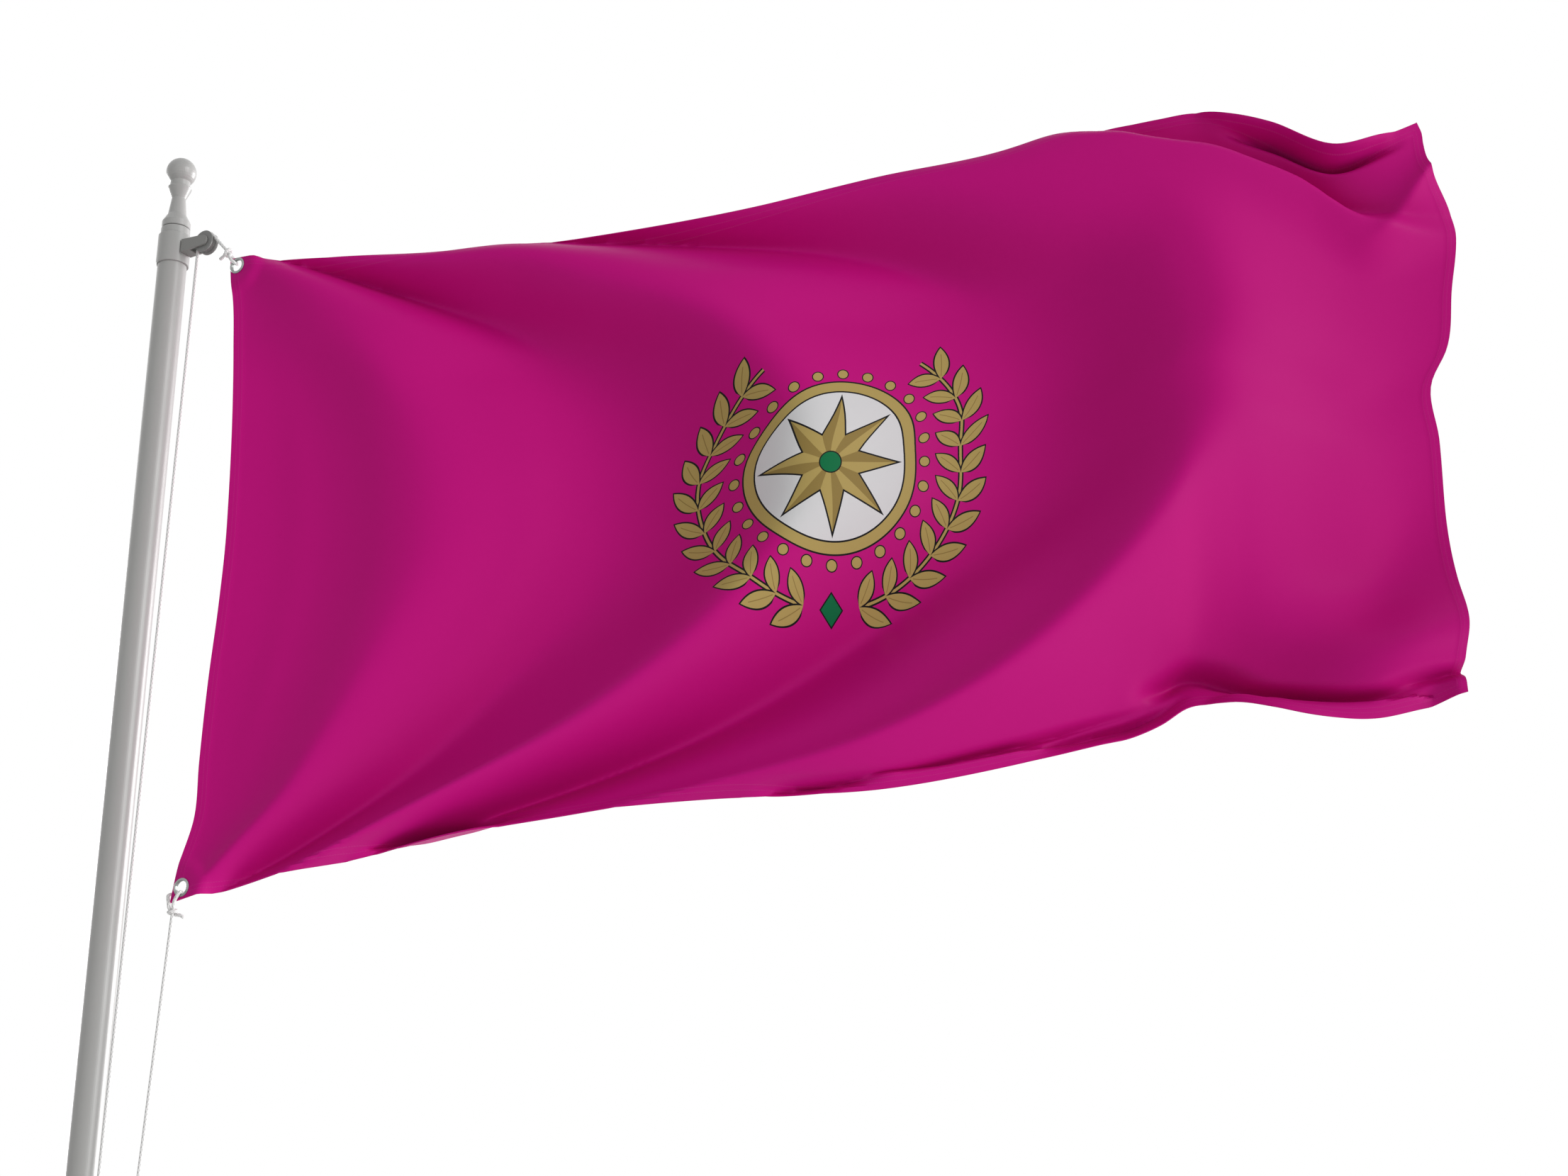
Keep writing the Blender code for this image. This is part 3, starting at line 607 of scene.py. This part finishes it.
def clothPoints(u, v):
    # x between the side edges, z between the long edges, y by the folds, and flat under each ring
    f = flagShape
    x = through(v, sideReach, 1) * (1 - u) + through(v, sideReach, 2) * u
    z = through(u, edgeHeights, 1) * (1 - v) + through(u, edgeHeights, 2) * v
    y = f["hoistY"] - f["flyNearer"] * u - standOut(u, v)
    for eyeX, eyeZ in f["eyelets"].values():
        flat = 1 - ease(np.hypot((x - eyeX) * f["flatWide"], z - eyeZ), *f["flatRound"])
        y = y + (f["hoistY"] - f["ringSeat"] + f["eyeletSlope"] * (x - eyeX) - y) * flat
    return np.stack([x, y, z], -1)


def gridShares(count, length, dense):
    # hem lines by both ends, and between them t less a share of sin(2 pi t), which crowds toward the ends
    hem = np.array(flagShape["hemLines"]) / length
    t = np.linspace(0, 1, count)
    inner = hem[-1] + (1 - 2 * hem[-1]) * (t - dense * np.sin(2 * np.pi * t) / (2 * np.pi))
    return np.concatenate([hem[:-1], inner, (1 - hem[:-1])[::-1]])


def shellFaces(across, up):
    # quads of the front sheet, the same turned round on the back, and strips round the rim
    index = np.arange(across * up).reshape(up, across)
    a, b, c, d = index[:-1, :-1], index[:-1, 1:], index[1:, 1:], index[1:, :-1]
    front = np.stack([a, b, c, d], -1).reshape(-1, 4)
    rim = np.concatenate([index[0, :-1], index[:-1, -1], index[-1, :0:-1], index[:0:-1, 0]])
    after = np.roll(rim, -1)
    far = across * up
    strip = np.stack([rim, rim + far, after + far, after], -1)
    return np.concatenate([front, front[:, ::-1] + far, strip])


def meshFrom(name, points, faces, smooth=True):
    mesh = bpy.data.meshes.new(name)
    mesh.from_pydata(points.tolist(), [], faces)
    if smooth:
        mesh.shade_smooth()
    thing = bpy.data.objects.new(name, mesh)
    bpy.context.scene.collection.objects.link(thing)
    return thing


def eyeletFrame(which):
    # x along the cloth, y up, z out toward the viewer, from the ring's middle
    f = flagShape
    x, z = f["eyelets"][which]
    slope = f["eyeletSlope"]
    along = Vector((1, slope, 0)).normalized()
    out = Vector((slope, -1, 0)).normalized()
    m = Matrix((along, (0, 0, 1), out)).transposed().to_4x4()
    m.translation = (x, f["hoistY"] - f["ringSeat"], z)
    return m


def layCutMap(thing, u, v):
    # both faces carry the place on the cut cloth, in metres
    flat = np.stack([u * clothCut["length"], v * clothCut["width"]], -1).reshape(-1, 2)
    flat = np.concatenate([flat, flat])
    loops = np.empty(len(thing.data.loops), np.int32)
    thing.data.loops.foreach_get("vertex_index", loops)
    layer = thing.data.uv_layers.new(name="cut")
    layer.data.foreach_set("uv", flat[loops].astype(np.float32).ravel())


def punchEyelets(thing):
    f = flagShape
    size = {"vertices": f["holeSides"], "radius": f["eyeletHole"], "depth": f["punchDepth"]}
    for which in f["eyelets"]:
        bpy.ops.mesh.primitive_cylinder_add(**size)
        punch = bpy.context.object
        punch.matrix_world = eyeletFrame(which)
        step = thing.modifiers.new("hole", "BOOLEAN")
        step.operation, step.solver, step.object = "DIFFERENCE", "EXACT", punch
        bpy.context.view_layer.objects.active = thing
        bpy.ops.object.modifier_apply(modifier="hole")
        bpy.data.objects.remove(punch)


def makeCloth():
    # front and back lie half the thickness to both sides of the middle sheet, along its normals
    c = clothCut
    us = gridShares(flagShape["columns"], c["length"], 0.0)
    vs = gridShares(flagShape["rows"], c["width"], flagShape["rowCrowding"])
    u, v = np.meshgrid(us, vs)
    middle = clothPoints(u, v)
    # normals: the cross product of the two grid directions
    normal = np.cross(np.gradient(middle, axis=1), np.gradient(middle, axis=0))
    normal /= np.linalg.norm(normal, axis=-1, keepdims=True)
    edge = np.minimum(np.minimum(u, 1 - u) * c["length"], np.minimum(v, 1 - v) * c["width"])
    thickness = c["thickness"] + (c["hemThickness"] - c["thickness"]) * (1 - ease(edge, *c["hemStep"]))
    half = thickness[..., None] / 2
    points = np.concatenate([side.reshape(-1, 3) for side in (middle + normal * half, middle - normal * half)])
    thing = meshFrom("clothPiece", points, shellFaces(len(us), len(vs)).tolist())
    layCutMap(thing, u, v)
    punchEyelets(thing)
    thing.data.materials.clear()
    thing.data.materials.append(clothMaterial())
    thing.data.set_sharp_from_angle(angle=math.radians(flagShape["sharpFrom"]))
    print("cloth", len(thing.data.polygons), "faces")
    return thing


# The halyard

ropeSize = {
    "diameter": 0.0045, "sides": 10, "capRise": 0.5,
    "step": 0.001, "roundings": 6, "curvePoints": 12,
    "offChord": 0.00004, "longest": 0.08,    # how far a kept length may stand off its chord, and its longest
}
ropeFinish = {
    "roughness": 0.75, "sheen": 0.1, "strandStep": 0.0060, "strandsRound": 4, "bump": (0.5, 0.0006),
    # the hollow tone is painted shade: the white rope drawn darker between its strands
    "hollow": (0.80, 0.80, 0.80, 1), "strand": (0.93, 0.93, 0.92, 1), "strandFrom": -0.4, "strandTo": 0.9,
}
truck = {
    "armTurn": -27.0, "sheaveOut": 0.0597, "sheaveHeight": 1.7594, "overSheave": 0.0145,
    "overAngles": (42, 60, 80, 100, 120, 140, 160, 180), "cleatTurn": -16.0, "cleatHeight": 0.200,
}
tie = {
    "turn": 0.0052, "pitch": 0.0052, "pointsPerTurn": 8,
    "topKnot": (0.0899, -0.0458, 1.7352), "topTurns": 1.25, "topRise": -0.004,
    "topTail": [(0.0782, -0.0410, 1.7265), (0.0850, -0.0420, 1.7330)],
    "bottomKnot": (-0.0112, -0.0285, 0.0), "bottomTurns": 1.5, "bottomRise": -0.003,
    "bottomTail": [(0.0050, -0.0035, -0.0005), (0.0100, -0.0040, -0.0035)],
    # metres along the standing part from each knot's middle, and before and after the sheave
    "topStanding": (-0.006, 0.0, 0.008), "bottomStanding": (0.05, 0.009, 0.0, -0.0045),
    "beforeSheave": 0.008, "afterSheave": 0.02,
}
# outward, sideways and upward from the cleat's middle, in millimetres
belayRoute = [
    (29, -11.2, 70), (29, -12.2, 14), (33, -10.4, -14), (33, -5, -22), (33.5, 5, -25),
    (40, 10.5, -24), (55, 10.4, -18), (60.2, 8.7, -13.5), (61.7, 4.5, -8), (61.7, -4.5, 8),
    (60.2, -8.7, 13.5), (55, -10.4, 18), (40, -10.5, 24), (33.5, -5, 25), (33, 5, 22),
    (40, 10.5, 19), (56, 10.6, 13), (66, 5, 6), (66.6, 0, 0), (65.6, -5, -7), (61, -9.2, -14),
    (54, -10.6, -21), (41, -10.6, -31), (34, -5, -33), (34, 6, -34),
    (42, 12.5, -32), (50, 15.6, -22), (56, 15.6, 0), (58, 15.2, 30), (59, 15, 60),
]
# along the cloth, up and out from the eyelet's middle, in millimetres
loopBottom = [
    (-8.6, -22.5, 3.2), (-5.4, -16, 4.8), (-2.0, -11.5, 5.3), (-0.4, -9.2, 5.3), (0, -7.3, 4.9),
    (0, -6.0, 3.2), (0, -5.8, 0), (-0.9, -5.9, -3.2), (-3.3, -6.5, -5.0), (-8, -6.4, -5.4),
    (-13, -6.3, -5.2), (-17.6, -6.6, -3.2), (-19.4, -7.8, 0), (-18.4, -10.5, 3.2), (-16.6, -15, 4.2),
    (-14.9, -20, 4.6),
]
loopTop = [
    (-12.0, 14.0, 4.8), (-8.4, 9.6, 5.4), (-6.2, 7.2, 5.3), (-4.75, 5.55, 4.9), (-3.9, 4.6, 3.2),
    (-3.75, 4.4, 0), (-3.9, 4.6, -3.2), (-4.75, 5.55, -4.9), (-6.2, 7.2, -5.3), (-8.4, 9.6, -5.5),
    (-12.0, 14.0, -6.2), (-15.5, 18.0, -8.5),
]


def ropeMaterial():
    # braid: two sets of strands that wind opposite ways round the rope, the larger of two sines, with painted
    # shade in the hollows
    f = ropeFinish
    m, s, shader = newMaterial("whiteBraid", f["roughness"])
    u, v, _ = s.split(s.node("ShaderNodeUVMap", uv_map="run").outputs[0])
    run, turn = s.mul(u, 2 * math.pi / f["strandStep"]), s.mul(v, 2 * math.pi * f["strandsRound"])
    braid = s.larger(s.math("SINE", s.add(run, turn)), s.math("SINE", s.sub(run, turn)))
    strand = s.between(braid, f["strandFrom"], f["strandTo"])
    # painted shade: the hollows between the strands take the darker hollow tone
    s.feed(shader.inputs["Base Color"], s.mix(strand, f["hollow"], f["strand"]))
    shader.inputs["Sheen Weight"].default_value = f["sheen"]
    bump(s, shader, braid, f["bump"])
    return m


def armFrame(degrees, height):
    return Matrix.Translation((0, 0, height)) @ Matrix.Rotation(math.radians(degrees), 4, "Z")


def inMillimetres(place, points):
    return [place @ (Vector(p) * 0.001) for p in points]


def wraps(centre, axis, start, turns, rise):
    # points of a helix round the rope's own standing part
    axis = axis.normalized()
    side = (start - centre) - axis * (start - centre).dot(axis)
    side.normalize()
    across = axis.cross(side)
    parts = tie["pointsPerTurn"]
    found = []
    for k in range(int(turns * parts) + 1):
        a = 2 * math.pi * k / parts
        climb = axis * (rise + tie["pitch"] * k / parts)
        found.append(centre + climb + (side * math.cos(a) + across * math.sin(a)) * tie["turn"])
    return found


def halyardRoute():
    # from the top tie over the sheave, down to the cleat and up to the bottom tie
    top, bottom = eyeletFrame("top"), eyeletFrame("bottom")
    wheel = armFrame(truck["armTurn"], truck["sheaveHeight"]) @ Matrix.Translation((truck["sheaveOut"], 0, 0))
    angles = [math.radians(a) for a in truck["overAngles"]]
    over = [wheel @ (Vector((math.cos(a), 0, math.sin(a))) * truck["overSheave"]) for a in angles]
    topKnot = Vector(tie["topKnot"])
    up = (over[0] - topKnot).normalized()
    upperLoop = inMillimetres(top, loopTop)
    upperTurns = wraps(topKnot, up, upperLoop[-1], tie["topTurns"], tie["topRise"])
    belay = inMillimetres(armFrame(truck["cleatTurn"], truck["cleatHeight"]), belayRoute)
    bottomKnot = bottom @ Vector(tie["bottomKnot"])
    down = (belay[-1] - bottomKnot).normalized()
    lowerLoop = inMillimetres(bottom, loopBottom)
    lowerTurns = wraps(bottomKnot, down, lowerLoop[-1], tie["bottomTurns"], tie["bottomRise"])
    line = [Vector(p) for p in tie["topTail"]] + upperTurns[::-1] + upperLoop[::-1]
    line += [topKnot + up * gap for gap in tie["topStanding"]]
    line += [over[0] - up * tie["beforeSheave"]] + over + [over[-1] - Vector((0, 0, tie["afterSheave"]))]
    line += belay + [bottomKnot + down * gap for gap in tie["bottomStanding"]]
    line += lowerLoop + lowerTurns + [lowerTurns[-1] + Vector(p) for p in tie["bottomTail"]]
    return np.array([tuple(p) for p in line])


def curveThrough(line):
    # a curve through the points whose parameter steps by the root of each distance, by repeated mixing
    p = np.concatenate([[2 * line[0] - line[1]], line, [2 * line[-1] - line[-2]]])
    step = np.maximum(np.linalg.norm(np.diff(p, axis=0), axis=1), 1e-6) ** 0.5
    t0 = np.zeros(len(p) - 3)
    t1, t2, t3 = step[:-2], step[:-2] + step[1:-1], step[:-2] + step[1:-1] + step[2:]
    shares = np.arange(ropeSize["curvePoints"])[None] / ropeSize["curvePoints"]
    x = t1[:, None] + (t2 - t1)[:, None] * shares

    def blend(a, b, low, high):
        return a + (b - a) * ((x - low[:, None]) / (high - low)[:, None])[..., None]

    a, b, c, d = (p[k:len(p) - 3 + k][:, None, :] for k in range(4))
    ab, bc, cd = blend(a, b, t0, t1), blend(b, c, t1, t2), blend(c, d, t2, t3)
    found = blend(blend(ab, bc, t0, t2), blend(bc, cd, t1, t3), t1, t2)
    return np.concatenate([found.reshape(-1, 3), line[-1:]])


def runAlong(path):
    # distance along the path to each of its points
    return np.concatenate([[0], np.cumsum(np.linalg.norm(np.diff(path, axis=0), axis=1))])


def smoothRun(line):
    # points at even steps, each drawn some times halfway to the mean of its neighbours
    # then only the points where the run bends are kept, and a few along its straights
    f = ropeSize
    fine = curveThrough(line)
    run = runAlong(fine)
    even = np.linspace(0, run[-1], int(run[-1] / f["step"]))
    fine = np.stack([np.interp(even, run, fine[:, k]) for k in range(3)], -1)
    for _ in range(f["roundings"]):
        fine[1:-1] = (fine[:-2] + 2 * fine[1:-1] + fine[2:]) / 4
    kept, first = [0], 0
    while first < len(fine) - 1:
        last = first + 1
        while last + 1 < len(fine):
            chord = fine[last + 1] - fine[first]
            long = np.linalg.norm(chord)
            off = np.linalg.norm(np.cross(fine[first + 1:last + 1] - fine[first], chord / long), axis=1).max()
            if off > f["offChord"] or long > f["longest"]:
                break
            last += 1
        kept.append(last)
        first = last
    return fine[kept]


def sidewaysOf(tangent):
    # a direction square to each tangent, each turned least from the one before
    side = np.cross(tangent[0], (0.3, 0.2, 1.0))
    found = []
    for t in tangent:
        side = side - t * side.dot(t)
        side = side / np.linalg.norm(side)
        found.append(side)
    return np.array(found)


def tubeAlong(name, path, radius, sides):
    # rings square to the path, each the path's point plus radius times (cos a sideways + sin a other)
    # both ends are closed round a raised middle
    tangent = np.gradient(path, axis=0)
    tangent /= np.linalg.norm(tangent, axis=1, keepdims=True)
    sideways = sidewaysOf(tangent)
    other = np.cross(tangent, sideways)
    angle = np.linspace(0, 2 * np.pi, sides, endpoint=False)
    ring = np.cos(angle)[None, :, None] * sideways[:, None] + np.sin(angle)[None, :, None] * other[:, None]
    rise = radius * ropeSize["capRise"]
    caps = np.array([path[0] - tangent[0] * rise, path[-1] + tangent[-1] * rise])
    points = np.concatenate([(path[:, None] + ring * radius).reshape(-1, 3), caps])
    # quads between the rings, then a fan at each end
    n = len(path)
    index = np.arange(n * sides).reshape(n, sides)
    a, b = index[:-1], index[1:]
    quads = np.stack([a, np.roll(a, -1, 1), np.roll(b, -1, 1), b], -1).reshape(-1, 4)
    j = np.arange(sides)
    first = np.stack([np.full(sides, n * sides), (j + 1) % sides, j], -1)
    last = np.stack([np.full(sides, n * sides + 1), index[-1], np.roll(index[-1], -1)], -1)
    thing = meshFrom(name, points, quads.tolist() + first.tolist() + last.tolist())
    # the map: metres along the rope, and the share of a turn round it
    run = runAlong(path)
    k, turn = np.meshgrid(np.arange(n - 1), j, indexing="ij")
    quadRun, quadTurn = np.stack([k, k, k + 1, k + 1], -1), np.stack([turn, turn + 1, turn + 1, turn], -1)
    quadMap = np.stack([run[quadRun], quadTurn / sides], -1)
    middle = np.full(sides, 0.5)
    firstMap = np.stack([np.full((sides, 3), run[0]), np.stack([middle, (j + 1) / sides, j / sides], -1)], -1)
    lastMap = np.stack([np.full((sides, 3), run[-1]), np.stack([middle, j / sides, (j + 1) / sides], -1)], -1)
    uv = np.concatenate([part.reshape(-1, 2) for part in (quadMap, firstMap, lastMap)])
    thing.data.uv_layers.new(name="run").data.foreach_set("uv", uv.astype(np.float32).ravel())
    return thing


def makeHalyard():
    path = smoothRun(halyardRoute())
    thing = tubeAlong("halyardRope", path, ropeSize["diameter"] / 2, ropeSize["sides"])
    thing.data.materials.append(ropeMaterial())
    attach(thing, "flag_on_pole")
    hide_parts("halyard")


# The metal nodes

paint = {
    # tone, roughness and share of clear coat
    "pole": ((0.40, 0.40, 0.39), 0.42, 0.6),
    "bracket": ((0.27, 0.27, 0.26), 0.42, 0.0),
    "sheave": ((0.23, 0.23, 0.225), 0.38, 0.0),
    "coatRoughness": 0.34, "darker": 0.92, "bump": (0.03, 0.0004),
    "roughnessLess": 0.05, "roughnessMore": 0.07,
}
ringFinish = {
    "roughness": 0.42, "metallic": 0.85, "cloud": 160.0, "bump": (0.15, 0.0001),
    "light": (0.42, 0.44, 0.43, 1), "dark": (0.26, 0.28, 0.27, 1),
}
# which finish each node has
nodeFinishes = {
    "lightPaint": ["pole", "truck_collar", "finial"],
    "greyBracket": ["sheave_bracket", "axle_pin", "cleat"],
    "greySheave": ["sheave"],
    "dullRing": ["eyelet_top", "eyelet_bottom"],
}


def paintedMaterial(name, tone, roughness, coat):
    m, s, shader = newMaterial(name, roughness)
    shader.inputs["Coat Weight"].default_value = coat
    shader.inputs["Coat Roughness"].default_value = paint["coatRoughness"]
    dust = useGroup(s, "dust", Place=s.node("ShaderNodeTexCoord").outputs["Object"])
    dark = tuple(c * paint["darker"] for c in tone)
    s.feed(shader.inputs["Base Color"], s.mix(dust["Cloud"], (*tone, 1), (*dark, 1)))
    least, most = roughness - paint["roughnessLess"], roughness + paint["roughnessMore"]
    s.feed(shader.inputs["Roughness"], s.between(dust["Cloud"], 0.2, 0.8, least, most))
    bump(s, shader, dust["Cloud"], paint["bump"])
    return m


def ringMaterial():
    f = ringFinish
    m, s, shader = newMaterial("dullRing", f["roughness"], f["metallic"])
    dust = useGroup(s, "dust", Place=s.node("ShaderNodeTexCoord").outputs["Object"], Cloud=f["cloud"])
    s.feed(shader.inputs["Base Color"], s.mix(dust["Cloud"], f["light"], f["dark"]))
    bump(s, shader, dust["Grain"], f["bump"])
    return m


def finishNodes():
    finishes = {
        "lightPaint": paintedMaterial("lightPaint", *paint["pole"]),
        "greyBracket": paintedMaterial("greyBracket", *paint["bracket"]),
        "greySheave": paintedMaterial("greySheave", *paint["sheave"]),
        "dullRing": ringMaterial(),
    }
    for finish, names in nodeFinishes.items():
        for name in names:
            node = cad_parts[name]
            node.data.materials.clear()
            node.data.materials.append(finishes[finish])


def setFloor():
    reach = light["floorReach"]
    corners = np.array([(-reach, -reach, 0), (reach, -reach, 0), (reach, reach, 0), (-reach, reach, 0)])
    floor = meshFrom("paleFloor", corners, [(0, 1, 2, 3)], smooth=False)
    m, s, shader = newMaterial("paleFloor", light["floorRoughness"])
    shader.inputs["Base Color"].default_value = light["floorColour"]
    floor.data.materials.append(m)
    floor.visible_shadow = False


setCamera()
setLights()
setFloor()
print("camera and lights set")
makeHalyard()
flag = makeCloth()
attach(flag, "flag_on_pole")
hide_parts("flag_cloth")
finishNodes()
print("nodes finished")
